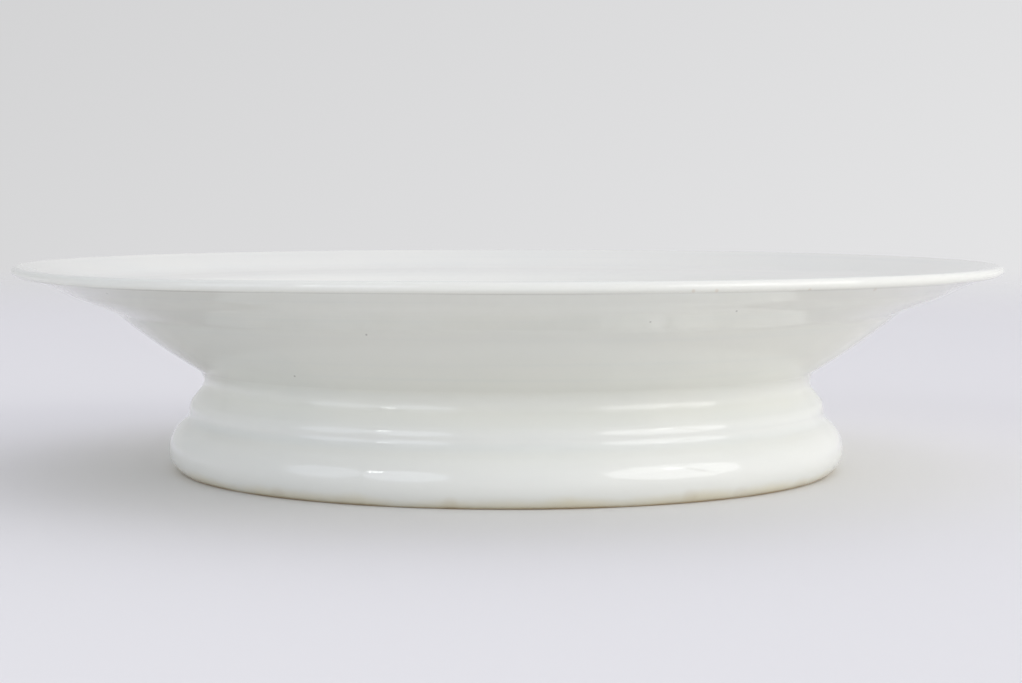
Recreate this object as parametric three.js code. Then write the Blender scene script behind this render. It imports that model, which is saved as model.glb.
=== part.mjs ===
// Footed plate of white glazed stoneware, round about the Z axis.
// The plate and its hollow moulded foot are formed apart, stuck together leather-hard with slip,
// then glazed and fired. Each is one turned solid, and the slip between them is a third.
// Millimetres, +Z up. The origin is the centre of the ring that the foot stands on.
import * as THREE from 'three';

// Foot, up its outside: standing ring, big round moulding (torus), groove, bead, neck.
// Each height is measured from the feature below it, and each projection from the feature above it.
const TORUS_HEIGHT = 4.8;
const GROOVE_RISE = 8.5;
const BEAD_RISE = 0.4;
const NECK_RISE = 6.3;
const NECK_RADIUS = 68.4;
const BEAD_PROJECTION = 3.1;
const TORUS_PROJECTION = 4.4;
const STANDING_RING_TUCK = 2.8;
const STANDING_RING_WIDTH = 3.2;
const SEAT_WIDTH = 6.2;
const TORUS_CURVE = 7.4;
const GROOVE_CURVE = 2.8;
const BEAD_CURVE = 3.5;
const NECK_CURVE = 3.3;

// Slip between foot and plate
const SLIP_THICKNESS = 0.8;
const SLIP_SQUEEZED_OUT = 0.5;

// Plate, from the neck outwards: sloping wall, bend, flatter rim, rounded lip. The rim's upper face is
// flatter still on its inner part, up to a soft crease.
const WALL_SPREAD = 19.5;
const WALL_RISE = 15.35;
const WALL_CURVE = 150;
const WALL_THICKNESS = 4.8;
const WELL_FLOOR_THICKNESS = 4.2;
const WELL_CORNER_EASE = 11;
const BEND_EASE = 3;
const INNER_BEND_EASE = 5;
const RIM_WIDTH = 22.1;
const RIM_RISE = 10.25;
const RIM_THICKNESS = 2.2;
const INNER_RIM_WIDTH = 9.5;
const CREASE_EASE = 3;
const LIP_THICKNESS = 2.2;
const LIP_UNDERCUT = THREE.MathUtils.degToRad(48);

// Flat sides round the axis
const SIDES = 80;

const glaze = { color: 0xe6e8e2, roughness: 0.12, metalness: 0 };
const glazedPlate = new THREE.MeshStandardMaterial(glaze);
const glazedFoot = new THREE.MeshStandardMaterial(glaze);
const firedSlip = new THREE.MeshStandardMaterial({ color: 0xd9d8ce, roughness: 0.45, metalness: 0 });

// A circle that part of an outline follows, in the plane of radius and height
function circle(radius, height, curve) {
  return { centre: new THREE.Vector2(radius, height), curve };
}

function pointOn({ centre, curve }, angle) {
  return new THREE.Vector2(centre.x + curve * Math.cos(angle), centre.y + curve * Math.sin(angle));
}

// Points round a circle from one angle to another
function arc({ centre, curve }, from, to, steps) {
  return new THREE.ArcCurve(centre.x, centre.y, curve, from, to, to < from).getPoints(steps);
}

// Angle on the circle where a line from the point touches it. The side is 1 for the touching point
// anticlockwise of the point's own direction, and -1 for the other one.
function touchFrom(point, { centre, curve }, side) {
  const away = point.clone().sub(centre);
  const angle = Math.atan2(away.y, away.x) + side * Math.acos(curve / away.length());
  return THREE.MathUtils.euclideanModulo(angle, 2 * Math.PI);
}

// The wide circle, with its centre inside the solid, that touches a hollow's circle and goes through a
// point above it
function bulgeBetween(hollow, point, curve) {
  const away = point.clone().sub(hollow.centre);
  const reach = hollow.curve + curve;
  const cosine = (away.lengthSq() + reach ** 2 - curve ** 2) / (2 * away.length() * reach);
  const angle = away.angle() + Math.acos(cosine);
  return circle(hollow.centre.x + reach * Math.cos(angle), hollow.centre.y + reach * Math.sin(angle), curve);
}

// A round moulding below a hollow: its widest point is given, and its curve is no larger than lets a
// straight line cross between the two circles
function roundBelow(hollow, radius, height, curve) {
  const inwards = radius - hollow.centre.x;
  const rise = hollow.centre.y - height;
  const largest = (inwards ** 2 + rise ** 2 - hollow.curve ** 2) / (2 * (hollow.curve + inwards));
  const fitted = Math.min(curve, largest);
  return circle(radius - fitted, height, fitted);
}

// Outward angle, on the moulding's circle, of the straight line that touches it and the hollow's circle
function crossingLine(moulding, hollow) {
  const away = hollow.centre.clone().sub(moulding.centre);
  const reach = Math.min(1, (moulding.curve + hollow.curve) / away.length());
  return Math.atan2(away.y, away.x) - Math.acos(reach);
}

// The same corner, eased over a distance along each of its sides
function easedCorner(before, corner, after, ease) {
  const along = (neighbour) => {
    const side = neighbour.clone().sub(corner);
    return corner.clone().add(side.setLength(Math.min(ease, side.length() / 2)));
  };
  return new THREE.QuadraticBezierCurve(along(before), corner, along(after)).getPoints(4);
}

// Where two straight lines meet, each given by a point and a direction
function meeting(a, alongA, b, alongB) {
  const distance = b.clone().sub(a).cross(alongB) / alongA.cross(alongB);
  return a.clone().addScaledVector(alongA, distance);
}

// The outline turned about the Z axis as one closed solid
function turned(name, outline, material) {
  const geometry = new THREE.LatheGeometry(outline, SIDES);
  geometry.rotateX(Math.PI / 2);
  const mesh = new THREE.Mesh(geometry, material);
  mesh.name = name;
  return mesh;
}

// The hollow of the neck is one circle, which the foot, the slip and the plate share
const grooveHeight = TORUS_HEIGHT + GROOVE_RISE;
const beadHeight = grooveHeight + BEAD_RISE;
const neckHeight = beadHeight + NECK_RISE;
const neck = circle(NECK_RADIUS + NECK_CURVE, neckHeight, NECK_CURVE);

// The flat seats above and below the slip end at the edge of the neck's hollow
const footHeight = neckHeight - SLIP_THICKNESS / 2;
const plateBottom = footHeight + SLIP_THICKNESS;
const slipEdge = Math.asin(SLIP_THICKNESS / 2 / NECK_CURVE);
const seatRadius = pointOn(neck, Math.PI - slipEdge).x;
const seatInnerRadius = seatRadius - SEAT_WIDTH;

function footOutline() {
  const beadRadius = NECK_RADIUS + BEAD_PROJECTION;
  const bead = roundBelow(neck, beadRadius, beadHeight, BEAD_CURVE);
  const shoulder = crossingLine(bead, neck);

  // The groove's circle touches the bead's
  const between = bead.curve + GROOVE_CURVE;
  const quirk = Math.asin(BEAD_RISE / between);
  const groove = circle(bead.centre.x + between * Math.cos(quirk), grooveHeight, GROOVE_CURVE);

  // The torus has a tight curve above its widest point, and a wider one below it that ends at the
  // edge of the standing ring
  const torusRadius = beadRadius + TORUS_PROJECTION;
  const torus = roundBelow(groove, torusRadius, TORUS_HEIGHT, TORUS_CURVE);
  const torusShoulder = crossingLine(torus, groove);
  const lowerCurve = (TORUS_HEIGHT ** 2 + STANDING_RING_TUCK ** 2) / (2 * STANDING_RING_TUCK);
  const torusFoot = circle(torusRadius - lowerCurve, TORUS_HEIGHT, lowerCurve);
  const ringEdge = -Math.asin(TORUS_HEIGHT / lowerCurve);

  const outside = [
    ...arc(torusFoot, ringEdge, 0, 4),
    ...arc(torus, 0, torusShoulder, 5).slice(1),
    ...arc(groove, Math.PI + torusShoulder, Math.PI - quirk, 5),
    ...arc(bead, -quirk, shoulder, 5).slice(1),
    ...arc(neck, Math.PI + shoulder, Math.PI + slipEdge, 2),
  ];
  const ringInnerRadius = torusRadius - STANDING_RING_TUCK - STANDING_RING_WIDTH;
  const inside = [
    new THREE.Vector2(seatInnerRadius, footHeight),
    new THREE.Vector2(ringInnerRadius, 0),
  ];
  return [...outside, ...inside, outside[0].clone()];
}

function slipOutline() {
  const outside = arc(neck, Math.PI + slipEdge, Math.PI - slipEdge, 2);
  const inside = [
    new THREE.Vector2(seatInnerRadius, plateBottom),
    new THREE.Vector2(seatInnerRadius - SLIP_SQUEEZED_OUT, neckHeight),
    new THREE.Vector2(seatInnerRadius, footHeight),
  ];
  return [...outside, ...inside, outside[0].clone()];
}

function plateOutline() {
  const bend = new THREE.Vector2(NECK_RADIUS + WALL_SPREAD, plateBottom + WALL_RISE);
  const lipCurve = LIP_THICKNESS / 2;
  const lip = circle(bend.x + RIM_WIDTH - lipCurve, bend.y + RIM_RISE - lipCurve, lipCurve);
  const lipInside = -Math.PI / 2 - LIP_UNDERCUT;
  const rimStart = pointOn(lip, lipInside);

  // Under the wall, a wide curve goes on from the neck's circle up to the bend
  const wall = bulgeBetween(neck, bend, WALL_CURVE);
  const wallFoot = wall.centre.clone().sub(neck.centre).angle();
  const wallStart = pointOn(neck, wallFoot);
  const wallEnd = bend.clone().sub(wall.centre).angle();
  const intoBend = new THREE.Vector2(-Math.sin(wallEnd), Math.cos(wallEnd));
  const beforeBend = bend.clone().addScaledVector(intoBend, -bend.distanceTo(wallStart));

  // The upper faces of the wall and of the rim's root lie one wall thickness over the lower ones
  const alongWall = bend.clone().sub(wallStart).normalize();
  const alongRim = rimStart.clone().sub(bend).normalize();
  const over = (along, thickness) => new THREE.Vector2(-along.y, along.x).multiplyScalar(thickness);
  const onInnerWall = bend.clone().add(over(alongWall, WALL_THICKNESS));
  const onRimRoot = bend.clone().add(over(alongRim, WALL_THICKNESS));
  const innerBend = meeting(onInnerWall, alongWall, onRimRoot, alongRim);

  // The outer rim is thinner, from the crease in its upper face to the lip
  const underCrease = bend.clone().addScaledVector(alongRim, INNER_RIM_WIDTH / alongRim.x);
  const crease = underCrease.add(over(alongRim, RIM_THICKNESS));
  const lipTop = touchFrom(crease, lip, -1);

  const wellMiddle = new THREE.Vector2(0, plateBottom + WELL_FLOOR_THICKNESS);
  const wellCorner = meeting(onInnerWall, alongWall, wellMiddle, new THREE.Vector2(1, 0));

  return [
    new THREE.Vector2(0, plateBottom),
    ...arc(neck, Math.PI - slipEdge, wallFoot, 4),
    ...arc(wall, wallFoot + Math.PI, wallEnd - BEND_EASE / WALL_CURVE, 4).slice(1, -1),
    ...easedCorner(beforeBend, bend, rimStart, BEND_EASE),
    ...arc(lip, lipInside, 0, 6),
    ...arc(lip, 0, Math.PI / 2, 4).slice(1),
    pointOn(lip, lipTop),
    ...easedCorner(pointOn(lip, lipTop), crease, innerBend, CREASE_EASE),
    ...easedCorner(crease, innerBend, wellCorner, INNER_BEND_EASE),
    ...easedCorner(innerBend, wellCorner, wellMiddle, WELL_CORNER_EASE),
    wellMiddle,
  ];
}

const footedPlate = new THREE.Group();
footedPlate.add(turned('foot', footOutline(), glazedFoot));
footedPlate.add(turned('luting_slip', slipOutline(), firedSlip));
footedPlate.add(turned('plate', plateOutline(), glazedPlate));

export default footedPlate;
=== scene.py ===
import math

import bpy
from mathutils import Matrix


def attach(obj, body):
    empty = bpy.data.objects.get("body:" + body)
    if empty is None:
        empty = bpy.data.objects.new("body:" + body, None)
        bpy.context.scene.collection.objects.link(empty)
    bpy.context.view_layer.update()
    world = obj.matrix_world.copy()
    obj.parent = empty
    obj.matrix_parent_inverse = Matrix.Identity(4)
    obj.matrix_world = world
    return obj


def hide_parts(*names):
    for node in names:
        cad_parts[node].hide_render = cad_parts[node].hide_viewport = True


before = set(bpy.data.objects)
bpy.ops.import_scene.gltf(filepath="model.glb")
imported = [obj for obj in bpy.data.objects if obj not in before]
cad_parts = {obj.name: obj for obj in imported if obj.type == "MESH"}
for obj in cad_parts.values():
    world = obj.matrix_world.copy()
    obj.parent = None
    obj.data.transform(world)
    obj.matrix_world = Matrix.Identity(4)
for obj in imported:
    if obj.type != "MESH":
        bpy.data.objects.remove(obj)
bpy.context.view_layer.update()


# Foot
# A hollow ring of white stoneware, turned with a big round moulding above the standing ring, a
# narrow bead, and a waist where it meets the plate. Its standing ring was wiped clean of glaze
# before the firing, and it has taken up brown stains in use.
mm = 0.001
RING_RADIUS = 73.1 * mm
RING_WIDTH = 3.2 * mm
RING_EDGE = 0.3 * mm
TORUS = (75.9 * mm, 4.8 * mm, 7.4 * mm)
GROOVE_HEIGHT = 13.3 * mm
GROOVE_CURVE = 2.8 * mm
BEAD = (71.5 * mm, 13.7 * mm, 3.5 * mm)
NECK = (68.4 * mm, 20 * mm, 3.3 * mm)
SEAT_HEIGHT = 19.6 * mm
SEAT_INNER_RADIUS = 62.2 * mm
HOLLOW_SPREAD = 1.5 * mm
HOLLOW_CORNER_HEIGHT = 15 * mm
HOLLOW_EASE = 3 * mm
WHEEL_STEPS = 288
SAME_POINT = 0.001 * mm
SHARP_EDGE = math.radians(40)
LEANT_HEIGHT = 46 * mm
LEANT_WIDTH = 240 * mm
LEAN_HALFWAY = 0.28 * mm
LEAN_AT_TOP = 0.36 * mm
TILT = 0.24 * mm


def moulding(widest_radius, height, curve):
    """Centre and curve of a round moulding, from its widest point."""
    return widest_radius - curve, height, curve


def hollow(narrowest_radius, height, curve):
    """Centre and curve of a hollow, from its narrowest point."""
    return narrowest_radius + curve, height, curve


def crossing_angle(lower, upper):
    """Direction on the lower circle of the line that touches both circles and crosses between them."""
    across, up = upper[0] - lower[0], upper[1] - lower[1]
    return math.atan2(up, across) - math.acos((lower[2] + upper[2]) / math.hypot(across, up))


class Section:
    """The section of a turned piece, drawn point by point in edit mode and then spun round the axis."""

    def __init__(self, name, radius, height):
        bpy.ops.object.select_all(action="DESELECT")
        bpy.ops.mesh.primitive_plane_add(size=mm, location=(radius, 0, height))
        bpy.ops.object.transform_apply()
        self.piece = bpy.context.object
        self.piece.name = self.piece.data.name = name
        self.end = (radius, height)
        bpy.ops.object.mode_set(mode="EDIT")
        bpy.ops.mesh.merge(type="CENTER")

    def line(self, radius, height, steps=1):
        step = ((radius - self.end[0]) / steps, 0, (height - self.end[1]) / steps)
        for _ in range(steps):
            bpy.ops.mesh.extrude_region_move(TRANSFORM_OT_translate={"value": step})
        self.end = (radius, height)

    def curve(self, circle, first, last, steps):
        """Along a circle from one direction to another, both in radians above the horizontal."""
        middle, height, size = circle
        self.line(middle + size * math.cos(first), height + size * math.sin(first))
        bpy.ops.mesh.spin(
            steps=steps, angle=last - first, center=(middle, 0, height), axis=(0, 1, 0)
        )
        self.end = (middle + size * math.cos(last), height + size * math.sin(last))

    def corner(self, point, after, reach, steps):
        """Round a corner on the way to the next point, starting at the reach from the corner."""
        before = math.atan2(point[1] - self.end[1], point[0] - self.end[0])
        onward = math.atan2(after[1] - point[1], after[0] - point[0])
        bend = (onward - before + math.pi) % (2 * math.pi) - math.pi
        size = reach / math.tan(abs(bend) / 2)
        side = math.copysign(math.pi / 2, bend)
        start = (point[0] - reach * math.cos(before), point[1] - reach * math.sin(before))
        across, up = size * math.cos(before + side), size * math.sin(before + side)
        middle = (start[0] + across, start[1] + up, size)
        self.curve(middle, before - side, before - side + bend, steps)

    def turn(self):
        bpy.ops.mesh.select_all(action="SELECT")
        bpy.ops.mesh.spin(
            steps=WHEEL_STEPS, angle=2 * math.pi, center=(0, 0, 0), axis=(0, 0, 1), use_auto_merge=True
        )
        bpy.ops.mesh.select_all(action="SELECT")
        bpy.ops.mesh.remove_doubles(threshold=SAME_POINT)
        bpy.ops.mesh.normals_make_consistent(inside=False)
        bpy.ops.object.mode_set(mode="OBJECT")
        bpy.ops.object.shade_smooth_by_angle(angle=SHARP_EDGE)
        return self.piece


def lean(piece):
    """Lean a piece as the whole plate leant in the kiln: to the right, and up a little that side."""
    bpy.ops.object.select_all(action="DESELECT")
    bpy.ops.object.add(type="LATTICE", location=(0, 0, LEANT_HEIGHT / 2))
    cage = bpy.context.object
    cage.scale = (LEANT_WIDTH, LEANT_WIDTH, LEANT_HEIGHT)
    cage.data.points_w = 3
    cage.data.interpolation_type_w = "KEY_LINEAR"

    def push(side, level, way):
        """Move one level of the cage, all of it or one side."""
        for point in cage.data.points:
            point.select = point.co.z * 2 == level and point.co.x * side >= 0
        bpy.ops.object.mode_set(mode="EDIT")
        bpy.ops.transform.translate(value=way)
        bpy.ops.object.mode_set(mode="OBJECT")

    push(0, 0, (LEAN_HALFWAY, 0, 0))
    push(0, 1, (LEAN_AT_TOP, 0, 0))
    push(1, 1, (0, 0, TILT))
    push(-1, 1, (0, 0, -TILT))
    bpy.ops.object.select_all(action="DESELECT")
    bpy.context.view_layer.objects.active = piece
    piece.select_set(True)
    bpy.ops.object.modifier_add(type="LATTICE")
    piece.modifiers[0].object = cage
    bpy.ops.object.modifier_apply(modifier=piece.modifiers[0].name)
    bpy.data.objects.remove(cage)


neck = hollow(*NECK)
bead = moulding(*BEAD)
torus = moulding(*TORUS)
between = bead[2] + GROOVE_CURVE
quirk = math.asin((bead[1] - GROOVE_HEIGHT) / between)
groove = (bead[0] + between * math.cos(quirk), GROOVE_HEIGHT, GROOVE_CURVE)
torus_top = crossing_angle(torus, groove)
shoulder = crossing_angle(bead, neck)
seat_angle = math.asin((neck[1] - SEAT_HEIGHT) / neck[2])
tuck = TORUS[0] - RING_RADIUS
under_curve = (TORUS[1] ** 2 + tuck ** 2) / (2 * tuck)
torus_under = (TORUS[0] - under_curve, TORUS[1], under_curve)
edge_reach = math.sqrt((under_curve - RING_EDGE) ** 2 - (TORUS[1] - RING_EDGE) ** 2)
edge_angle = -math.atan2(TORUS[1] - RING_EDGE, edge_reach)
ring_edge = (torus_under[0] + edge_reach, RING_EDGE, RING_EDGE)
ring_inner = (RING_RADIUS - RING_WIDTH, 0)
hollow_wall = (SEAT_INNER_RADIUS + HOLLOW_SPREAD, HOLLOW_CORNER_HEIGHT)

section = Section("foot_glazed", RING_RADIUS - RING_WIDTH / 2, 0)
section.curve(ring_edge, -math.pi / 2, edge_angle, 5)
section.curve(torus_under, edge_angle, 0, 16)
section.curve(torus, 0, torus_top, 16)
section.curve(groove, math.pi + torus_top, math.pi - quirk, 12)
section.curve(bead, -quirk, shoulder, 12)
section.curve(neck, math.pi + shoulder, math.pi + seat_angle, 8)
section.line(SEAT_INNER_RADIUS, SEAT_HEIGHT, 2)
section.corner(hollow_wall, ring_inner, HOLLOW_EASE, 8)
section.corner(ring_inner, (RING_RADIUS, 0), RING_EDGE, 5)
section.line(RING_RADIUS - RING_WIDTH / 2, 0)
foot = section.turn()
lean(foot)


class Wire:
    """The output of a shader node. Sums on it add Math nodes to the material in hand."""

    tree = None

    def __init__(self, output):
        self.output = output

    @classmethod
    def node(cls, kind, settings=None, inputs=None, output=0):
        made = cls.tree.nodes.new("ShaderNode" + kind)
        for setting, value in (settings or {}).items():
            setattr(made, setting, value)
        for name, value in (inputs or {}).items():
            if isinstance(value, Wire):
                cls.tree.links.new(value.output, made.inputs[name])
            else:
                made.inputs[name].default_value = value
        return cls(made.outputs[output])

    def sum(self, operation, *terms):
        return Wire.node("Math", {"operation": operation}, dict(enumerate((self, *terms))))

    def __add__(self, other):
        return self.sum("ADD", other)

    def __sub__(self, other):
        return self.sum("SUBTRACT", other)

    def __mul__(self, other):
        return self.sum("MULTIPLY", other)

    def __rsub__(self, other):
        return Wire.node("Math", {"operation": "SUBTRACT"}, {0: other, 1: self})

    __radd__ = __add__
    __rmul__ = __mul__

    def fade(self, none, full):
        """0 up to one value and 1 from the other, with a soft step between them."""
        limits = {"Value": self, "From Min": none, "From Max": full}
        return Wire.node("MapRange", {"interpolation_type": "SMOOTHSTEP"}, limits)


def blend(share, first, second):
    """A colour between two others."""
    return Wire.node("Mix", {"data_type": "RGBA"}, {0: share, 6: first, 7: second}, 2)


def noise(place, scale, detail=2):
    return Wire.node("TexNoise", inputs={"Vector": place, "Scale": scale, "Detail": detail})


def srgb(red, green, blue):
    """A colour as it is seen on a screen, from 0 to 255, for a shader."""

    def part(value):
        value /= 255
        return value / 12.92 if value < 0.04045 else ((value + 0.055) / 1.055) ** 2.4

    return part(red), part(green), part(blue), 1


class Glaze:
    """Clear shiny glaze over a white body, with the marks of the wheel in it."""

    WHITE = srgb(236, 236, 227)
    THICK = srgb(222, 226, 221)
    IRON = srgb(62, 44, 32)
    IOR = 1.52
    SMOOTHEST = 0.015
    RING_ROUGHNESS = 0.025
    RINGS_A_METRE = 420
    CLOUDS_A_METRE = 28
    RIPPLES_A_METRE = 95
    RELIEF = 0.02 * mm
    SPECK_CELLS_A_METRE = 75
    SPECK_EDGE = (0.012, 0.03)
    CELLS_LEFT_OUT = (0.9, 0.92)

    def __init__(self, name, piece):
        self.material = bpy.data.materials.new(name)
        self.material.use_nodes = True
        Wire.tree = self.material.node_tree
        self.surface = Wire.tree.nodes["Principled BSDF"]
        self.surface.inputs["IOR"].default_value = self.IOR
        piece.data.materials.clear()
        piece.data.materials.append(self.material)

        self.place = Wire.node("TexCoord", output="Object")
        self.right, behind, self.height = (
            Wire.node("SeparateXYZ", inputs={0: self.place}, output=axis) for axis in range(3)
        )
        self.far_side = behind.fade(-2 * mm, 0)
        flat = Wire.node("VectorMath", {"operation": "MULTIPLY"}, {0: self.place, 1: (1, 1, 0)})
        self.radius = Wire.node("VectorMath", {"operation": "LENGTH"}, {0: flat}, 1)

        # Rings left by the turning tool, which change slowly on the way round
        round_slowly = Wire.node("VectorMath", {"operation": "MULTIPLY"}, {0: self.place, 1: (7, 7, 0)})
        along_section = (self.radius * 0.6 + self.height) * self.RINGS_A_METRE
        up = Wire.node("CombineXYZ", inputs={"Z": along_section})
        ring_place = Wire.node("VectorMath", {"operation": "ADD"}, {0: round_slowly, 1: up})
        self.rings = noise(ring_place, 1, 4)

        self.clouds = noise(self.place, self.CLOUDS_A_METRE, 3)
        self.ripple = noise(self.place, self.RIPPLES_A_METRE, 1)
        self.colour = blend(self.clouds.fade(0.42, 0.68) * 0.2, self.WHITE, self.THICK)
        self.colour = blend(self.rings.fade(0.5, 0.75) * 0.18, self.colour, self.THICK)
        self.roughness = self.SMOOTHEST + self.RING_ROUGHNESS * self.rings.fade(0.35, 0.8)

        # A few iron specks that bled through in the firing, on the far side
        cells = {"Vector": self.place, "Scale": self.SPECK_CELLS_A_METRE}
        speck = 1 - Wire.node("TexVoronoi", inputs=cells).fade(*self.SPECK_EDGE)
        own_colour = Wire.node("TexVoronoi", inputs=cells, output=1)
        chosen = Wire.node("SeparateColor", inputs={0: own_colour}).fade(*self.CELLS_LEFT_OUT)
        self.stain(speck * chosen * self.far_side * 0.75, self.IRON)

    def stain(self, share, colour):
        self.colour = blend(share, self.colour, colour)

    def spot(self, colour, size, share, radius, height, degrees):
        """A spot on the near side, at an angle to the right of the front.

        The distance from its middle counts a tenth in depth, so the place may be a little out.
        """
        angle = math.radians(degrees)
        centre = (radius * math.sin(angle), -0.1 * radius * math.cos(angle), height)
        squeezed = Wire.node("VectorMath", {"operation": "MULTIPLY"}, {0: self.place, 1: (1, 0.1, 1)})
        away = Wire.node("VectorMath", {"operation": "DISTANCE"}, {0: squeezed, 1: centre}, 1)
        self.stain((1 - away.fade(0.35 * size, size)) * (1 - self.far_side) * share, colour)

    def finish(self):
        relief = self.rings * 0.35 + self.ripple
        bump = Wire.node("Bump", inputs={"Strength": 0.5, "Distance": self.RELIEF, "Height": relief})
        wires = {"Base Color": self.colour, "Roughness": self.roughness, "Normal": bump}
        for socket, wire in wires.items():
            Wire.tree.links.new(wire.output, self.surface.inputs[socket])


BARE_BODY = srgb(212, 198, 172)
TEA_BROWN = srgb(174, 146, 98)
TEA_BLOOM = srgb(222, 211, 174)
COOLER_GLAZE = srgb(236, 237, 235)
POOL_AND_SHADE_HEIGHT = 11.9 * mm
POOL_AND_SHADE_REACH = (0.1 * mm, 1.6 * mm)
COOLER_BELOW = (14 * mm, 19.5 * mm)
WIPED_UP_TO = (0.1 * mm, 0.4 * mm)
BROWN_UP_TO = (0.1 * mm, 0.7 * mm)
CREPT_UP_TO = (-2.6 * mm, 0.6 * mm)
CREPT_UNEVENLY = 5 * mm
PATCHES_A_METRE = 60

# Radius and height in millimetres, and degrees to the right of the front, as for all spots
TEA_SPOT_SIZE = 2.2 * mm
TEA_SPOTS = (
    (74.1, 0.9, -38.4),
    (74.0, 0.9, -8.4),
    (74.6, 1.6, 29.5),
    (74.1, 1.0, 39.9),
    (74.0, 0.9, 56.5),
)

glaze = Glaze("foot_glaze", foot)
# Thicker glaze pooled round the groove, greyer and greener; the darkening also stands in for the
# groove's shade, so it is partly painted shade
pooled_and_shaded = 1 - (glaze.height - POOL_AND_SHADE_HEIGHT).sum("ABSOLUTE").fade(*POOL_AND_SHADE_REACH)
glaze.stain(pooled_and_shaded * 0.45, Glaze.THICK)
glaze.stain((1 - glaze.height.fade(*COOLER_BELOW)) * 0.4, COOLER_GLAZE)

# Round the standing ring the glaze is wiped off, and tea has crept up from there in patches
patches = noise(glaze.place, PATCHES_A_METRE, 4)
wiped = 1 - glaze.height.fade(*WIPED_UP_TO)
brown = (1 - glaze.height.fade(*BROWN_UP_TO)) * patches.fade(0.3, 0.6)
crept = 1 - (glaze.height - patches * CREPT_UNEVENLY).fade(*CREPT_UP_TO)
glaze.stain(crept * 0.6, TEA_BLOOM)
glaze.stain(wiped, BARE_BODY)
glaze.stain(brown * 0.6, TEA_BROWN)
for radius, height, degrees in TEA_SPOTS:
    glaze.spot(TEA_BROWN, TEA_SPOT_SIZE, 0.1, radius * mm, height * mm, degrees)
glaze.roughness = glaze.roughness + 0.7 * wiped
glaze.finish()
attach(foot, "root")
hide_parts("foot")


# Slip
# The liquid clay that the plate and foot were stuck together with, squeezed out a little into the
# hollow of the foot and smoothed there with a wet sponge, then glazed over with the rest.
SLIP_TOP = 20.4 * mm
SLIP_BULGE = 1.1 * mm
SLIP_END = 3 * math.pi / 2 - 0.6
SLIP_COLOUR = srgb(222, 221, 210)
SLIP_SEEN = (SEAT_INNER_RADIUS + 1 * mm, SEAT_INNER_RADIUS + 3 * mm)

section = Section("slip_ring", NECK[0], NECK[1])
section.curve(neck, math.pi, math.pi - seat_angle, 2)
section.line(SEAT_INNER_RADIUS, SLIP_TOP, 2)
section.curve((SEAT_INNER_RADIUS, SLIP_TOP - SLIP_BULGE, SLIP_BULGE), math.pi / 2, SLIP_END, 10)
section.line(SEAT_INNER_RADIUS, SEAT_HEIGHT)
section.curve(neck, math.pi + seat_angle, math.pi, 2)
slip = section.turn()
lean(slip)
glaze = Glaze("slip_under_glaze", slip)
inside = 1 - glaze.radius.fade(*SLIP_SEEN)
glaze.stain(inside * 0.5, SLIP_COLOUR)
glaze.roughness = glaze.roughness + 0.12 * inside
glaze.finish()
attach(slip, "root")
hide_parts("luting_slip")


# Plate
# Pressed in the same white stoneware: a flat well, a sloping wall, and a nearly flat rim that
# ends in a small rounded lip. It was turned leather-hard and stuck to its foot with slip. In the
# kiln it leant a little and sank at the front left of the rim.
BEND = (87.9 * mm, 35.75 * mm)
WALL_CURVE = 150 * mm
RIM_EDGE_RADIUS = 110 * mm
OVERALL_HEIGHT = 46 * mm
LIP = 2.2 * mm
LIP_UNDERCUT = math.radians(48)
WALL = 4.8 * mm
RIM = 2.2 * mm
INNER_RIM_WIDTH = 9.5 * mm
WELL_FLOOR = 4.2 * mm
CREASE_EASE = 3 * mm
INNER_BEND_EASE = 5 * mm
WELL_CORNER_EASE = 13 * mm
TOOL_STEP = ((9.6 * mm, -0.2 * mm), (13.1 * mm, 0.15 * mm))
MARK_EASE = 1.4 * mm
SAG = 0.45 * mm
SAG_MIDDLE = 2 * mm
SAG_REACH = 75 * mm
SAG_SIDE = math.radians(-48)


def touching_angle(point, circle, side):
    """Direction on the circle of the straight line that touches it and comes from the point."""
    across, up = point[0] - circle[0], point[1] - circle[1]
    opening = math.acos(circle[2] / math.hypot(across, up))
    return (math.atan2(up, across) + side * opening) % (2 * math.pi)


def meeting(first, first_way, second, second_way):
    """Where two straight lines meet, each through a point and in a direction."""
    across, up = second[0] - first[0], second[1] - first[1]
    aside = across * math.sin(second_way) - up * math.cos(second_way)
    reach = aside / math.sin(second_way - first_way)
    return first[0] + reach * math.cos(first_way), first[1] + reach * math.sin(first_way)


def on_circle(circle, angle):
    return circle[0] + circle[2] * math.cos(angle), circle[1] + circle[2] * math.sin(angle)


def direction(start, end):
    return math.atan2(end[1] - start[1], end[0] - start[0])


def raised(point, way, distance):
    """A point moved square to a direction, to its left."""
    return point[0] - distance * math.sin(way), point[1] + distance * math.cos(way)


def bulge_between(circle, point, curve):
    """The wide circle, its middle inside the clay, that touches a hollow and goes on to a point."""
    reach = circle[2] + curve
    away = math.hypot(point[0] - circle[0], point[1] - circle[1])
    opening = math.acos((away ** 2 + reach ** 2 - curve ** 2) / (2 * away * reach))
    middle = on_circle((*circle[:2], reach), direction(circle, point) + opening)
    return *middle, curve


lip = (RIM_EDGE_RADIUS - LIP / 2, OVERALL_HEIGHT - LIP / 2, LIP / 2)
lip_inside = -math.pi / 2 - LIP_UNDERCUT
rim_end = on_circle(lip, lip_inside)
wall = bulge_between(neck, BEND, WALL_CURVE)
wall_foot = direction(neck, wall)
wall_way = direction(on_circle(neck, wall_foot), BEND)
rim_way = direction(BEND, rim_end)
inner_bend = meeting(raised(BEND, wall_way, WALL), wall_way, raised(BEND, rim_way, WALL), rim_way)
well_middle = (0, SLIP_TOP + WELL_FLOOR)
well_corner = meeting(inner_bend, wall_way, well_middle, 0)
under_crease = (BEND[0] + INNER_RIM_WIDTH, BEND[1] + INNER_RIM_WIDTH * math.tan(rim_way))
crease = raised(under_crease, rim_way, RIM)
lip_top = touching_angle(crease, lip, -1)

# The turning tool went out under the rim in two passes, and left a low step between them
marks = [BEND]
for across, off in TOOL_STEP:
    marks.append((BEND[0] + across, BEND[1] + across * math.tan(rim_way) + off))
marks.append(rim_end)

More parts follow.
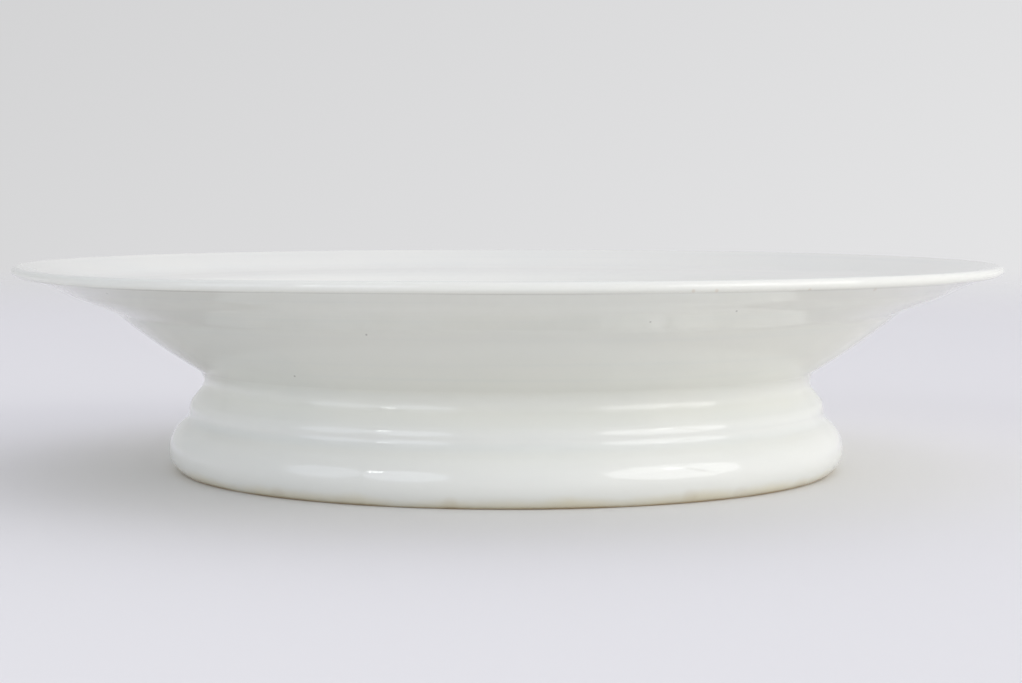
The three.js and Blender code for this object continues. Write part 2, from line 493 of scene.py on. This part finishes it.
section = Section("plate_glazed", 0, SLIP_TOP)
section.line(*on_circle(neck, math.pi - seat_angle), 10)
section.curve(neck, math.pi - seat_angle, wall_foot, 12)
section.curve(wall, wall_foot - math.pi, direction(wall, BEND) - 2 * MARK_EASE / WALL_CURVE, 16)
for mark, after in zip(marks, marks[1:]):
    section.corner(mark, after, MARK_EASE, 6)
section.line(*rim_end, 2)
section.curve(lip, lip_inside, lip_top, 24)
section.corner(crease, inner_bend, CREASE_EASE, 10)
section.corner(inner_bend, well_corner, INNER_BEND_EASE, 10)
section.corner(well_corner, well_middle, WELL_CORNER_EASE, 16)
section.line(*well_middle, 10)
plate = section.turn()
lean(plate)

# The rim sank at one place, and drew the rest of the plate a little after it
sunk = (RIM_EDGE_RADIUS * math.sin(SAG_SIDE), -RIM_EDGE_RADIUS * math.cos(SAG_SIDE))
bpy.ops.object.mode_set(mode="EDIT")
bpy.ops.mesh.select_all(action="DESELECT")
bpy.ops.object.mode_set(mode="OBJECT")
for vertex in plate.data.vertices:
    vertex.select = math.hypot(vertex.co.x - sunk[0], vertex.co.y - sunk[1]) < SAG_MIDDLE
bpy.ops.object.mode_set(mode="EDIT")
bpy.ops.transform.translate(
    value=(0, 0, -SAG),
    use_proportional_edit=True,
    proportional_edit_falloff="SMOOTH",
    proportional_size=SAG_REACH,
)
bpy.ops.object.mode_set(mode="OBJECT")

RUST = srgb(172, 132, 74)
# Brown of the grime under the lip, also used there for painted shade on the left
GRIME_AND_SHADE = srgb(120, 100, 84)
GRIME_AND_SHADE_INNER_EDGE = (106 * mm, 107 * mm)
GRIME_AND_SHADE_OUTER_EDGE = (108.6 * mm, 109.1 * mm)
GRIME_AND_SHADE_TOP_EDGE = (44.4 * mm, 45.2 * mm)
PAINTED_SHADE_RIGHT_EDGE = (-85 * mm, -40 * mm)
GRIME_PATCHES_A_METRE = 35
IRON_SPECK_SIZE = 0.3 * mm
IRON_SPECKS = (
    (87.3, 34.8, -17.7),
    (73.1, 25.0, -35.4),
    (102.6, 41.9, -49.9),
    (97.3, 39.7, 26.4),
    (92.4, 37.7, 17.0),
)
RUST_SPOT_SIZE = 0.5 * mm
RUST_SPOTS = (
    (109.7, 44.2, 17.9),
    (109.7, 44.2, 20.3),
    (109.5, 44.0, 30.8),
    (106.1, 43.4, 41.7),
)

glaze = Glaze("plate_glaze", plate)

# Grime in the crease under the lip, patchy all round, with painted shade added along it on the left,
# where the lip faces away from the light
near_lip = glaze.radius.fade(*GRIME_AND_SHADE_INNER_EDGE) * (1 - glaze.radius.fade(*GRIME_AND_SHADE_OUTER_EDGE))
under_lip = 1 - glaze.height.fade(*GRIME_AND_SHADE_TOP_EDGE)
# Painted shade: the left side of the lip is made darker, as the light comes mostly from the right
painted_shade_left = 1 - glaze.right.fade(*PAINTED_SHADE_RIGHT_EDGE)
patches = noise(glaze.place, GRIME_PATCHES_A_METRE).fade(0.35, 0.65)
grime_and_shade = 0.08 + 0.16 * patches + 0.5 * painted_shade_left
glaze.stain(near_lip * under_lip * grime_and_shade, GRIME_AND_SHADE)
for radius, height, degrees in IRON_SPECKS:
    glaze.spot(Glaze.IRON, IRON_SPECK_SIZE, 0.4, radius * mm, height * mm, degrees)
for radius, height, degrees in RUST_SPOTS:
    glaze.spot(RUST, RUST_SPOT_SIZE, 0.2, radius * mm, height * mm, degrees)
glaze.finish()
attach(plate, "root")
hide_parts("plate")


# Floor
# A round sheet of pale matt paper that the plate stands on. It runs out of sight into a
# background of nearly the same colour.
PAPER = srgb(228, 227, 225)
SEEN_BACKGROUND = srgb(221, 221, 222)
FLOOR_RADIUS = 1.6
FADING_FROM = 0.5
FADED_AT = 1.4

bpy.ops.object.select_all(action="DESELECT")
bpy.ops.mesh.primitive_circle_add(vertices=96, radius=FLOOR_RADIUS, fill_type="NGON")
floor = bpy.context.object
floor.name = "floor"
paper = bpy.data.materials.new("paper")
paper.use_nodes = True
Wire.tree = paper.node_tree
surface = Wire.tree.nodes["Principled BSDF"]
surface.inputs["Base Color"].default_value = PAPER
surface.inputs["Roughness"].default_value = 0.9
surface.inputs["Specular IOR Level"].default_value = 0.1
on_floor = Wire.node("TexCoord", output="Object")
far_away = Wire.node("VectorMath", {"operation": "LENGTH"}, {0: on_floor}, 1)
Wire.tree.links.new((1 - far_away.fade(FADING_FROM, FADED_AT)).output, surface.inputs["Alpha"])
floor.data.materials.append(paper)


# Light
# A wide window to the right, two dimmer ones side by side to the left, and soft light from all
# round, most of it from the pale room on the right and behind.
WINDOW_DISTANCE = 2.0
BAR_DISTANCE = WINDOW_DISTANCE * 0.97
GLEAM_DISTANCE = WINDOW_DISTANCE * 0.95
BAR_WIDTH = 0.07
OCTAGON = math.cos(math.pi / 8)
DAYLIGHT = (1, 1, 1, 1)
COOL_DAYLIGHT = (0.93, 0.98, 1.08, 1)
ROOM_LIGHT = 0.665
MORE_FROM_RIGHT = 0.38
MORE_FROM_BEHIND = 0.36
MORE_FROM_ABOVE = 0.2
COOLER_FROM_RIGHT = 0.04
COOLER_FROM_ABOVE = 0.12
SEEN_LIGHTER_RIGHT = 0.28
SEEN_DARKER_ABOVE = 0.35


def facing(azimuth, elevation, distance):
    """Place and turn of something that faces the plate. Azimuth is to the right of the camera."""
    azimuth, elevation = math.radians(azimuth), math.radians(elevation)
    level = math.cos(elevation)
    out = (math.sin(azimuth) * level, -math.cos(azimuth) * level, math.sin(elevation))
    turn = (math.pi / 2 - elevation, 0, azimuth)
    return {"location": [part * distance for part in out], "rotation": turn}


def window(
    name, azimuth, elevation, width, height, brightness, colour, tilt=0, distance=WINDOW_DISTANCE
):
    """A bright pane with its corners cut off, or a dark bar if it has no brightness."""
    bpy.ops.mesh.primitive_circle_add(
        vertices=8, radius=0.5 / OCTAGON, fill_type="NGON", rotation=(0, 0, math.pi / 8)
    )
    bpy.ops.object.transform_apply()
    pane = bpy.context.object
    pane.name = name
    pane.scale, pane.rotation_euler = (width, height, 1), (0, 0, math.radians(tilt))
    bpy.ops.object.transform_apply()
    place = facing(azimuth, elevation, distance)
    pane.location, pane.rotation_euler = place["location"], place["rotation"]
    pane.visible_camera = False
    light = bpy.data.materials.new(name)
    light.use_nodes = True
    Wire.tree = light.node_tree
    glow = Wire.node("Emission", inputs={"Color": colour, "Strength": brightness})
    Wire.tree.links.new(glow.output, Wire.tree.nodes["Material Output"].inputs["Surface"])
    pane.data.materials.append(light)


def gleam(name, azimuth, elevation, width, height, brightness):
    """A narrow, brighter part of a window."""
    bpy.ops.object.light_add(type="AREA", **facing(azimuth, elevation, GLEAM_DISTANCE))
    lamp = bpy.context.object
    lamp.name = name
    lamp.data.shape = "ELLIPSE"
    lamp.data.size, lamp.data.size_y = width, height
    lamp.data.energy = brightness * width * height * math.pi
    lamp.visible_camera = False


# Degrees to the right of the camera and upwards, then width, height and brightness
window("window_right", 58.5, 20, 1.76, 1.34, 3.2, DAYLIGHT)
window("window_left", -33, 17, 0.98, 1.1, 2.3, COOL_DAYLIGHT)
window("window_left_end", -62.5, 16, 0.97, 1.05, 1.9, COOL_DAYLIGHT)
window("bar_right", 66, 20, BAR_WIDTH, 0.87, 0, DAYLIGHT, 17.4, BAR_DISTANCE)
window("bar_right_top", 66, 34, BAR_WIDTH, 0.28, 0, DAYLIGHT, -59, BAR_DISTANCE)
gleam("gleam_right", 60, 29, 0.28, 0.26, 2.4)
gleam("gleam_left", -45, 26, 0.2, 0.2, 5)

world = bpy.data.worlds.new("room")
bpy.context.scene.world = world
world.use_nodes = True
Wire.tree = world.node_tree
room = Wire.tree.nodes["Background"]
seen = Wire.node("LightPath", output="Is Camera Ray")
shiny = Wire.node("LightPath", output="Is Glossy Ray")
through = Wire.node("LightPath", output="Is Transmission Ray")
direct = seen.sum("MAXIMUM", shiny).sum("MAXIMUM", through)
way = Wire.node("TexCoord")
right, behind, up = (Wire.node("SeparateXYZ", inputs={0: way}, output=axis) for axis in range(3))
brightness = ROOM_LIGHT + MORE_FROM_RIGHT * right + MORE_FROM_BEHIND * behind + MORE_FROM_ABOVE * up
cooler = brightness + COOLER_FROM_RIGHT * right + COOLER_FROM_ABOVE * up
glow = Wire.node("CombineColor", inputs={0: brightness, 1: brightness, 2: cooler})
uneven = 1 + SEEN_LIGHTER_RIGHT * right - SEEN_DARKER_ABOVE * up
seen_room = Wire.node("VectorMath", {"operation": "SCALE"}, {0: SEEN_BACKGROUND[:3], "Scale": uneven})
Wire.tree.links.new(blend(direct, glow, seen_room).output, room.inputs["Color"])


# Camera
# It stands half a metre away and a little over the rim's height, and looks slightly down. Its
# turn and focal length were fitted to the outline of the plate.
CAMERA_PLACE = (0, -504.7 * mm, 62.1 * mm)
CAMERA_TURN = (math.pi / 2 - 0.0675, -0.0019, -0.0021)
SENSOR_WIDTH = 36
FOCAL_LENGTH = 78.4

bpy.ops.object.camera_add(location=CAMERA_PLACE, rotation=CAMERA_TURN)
camera = bpy.context.object
camera.data.sensor_width = SENSOR_WIDTH
camera.data.lens = FOCAL_LENGTH
camera.data.clip_start = 0.01
bpy.context.scene.camera = camera
bpy.context.scene.view_settings.view_transform = "Standard"
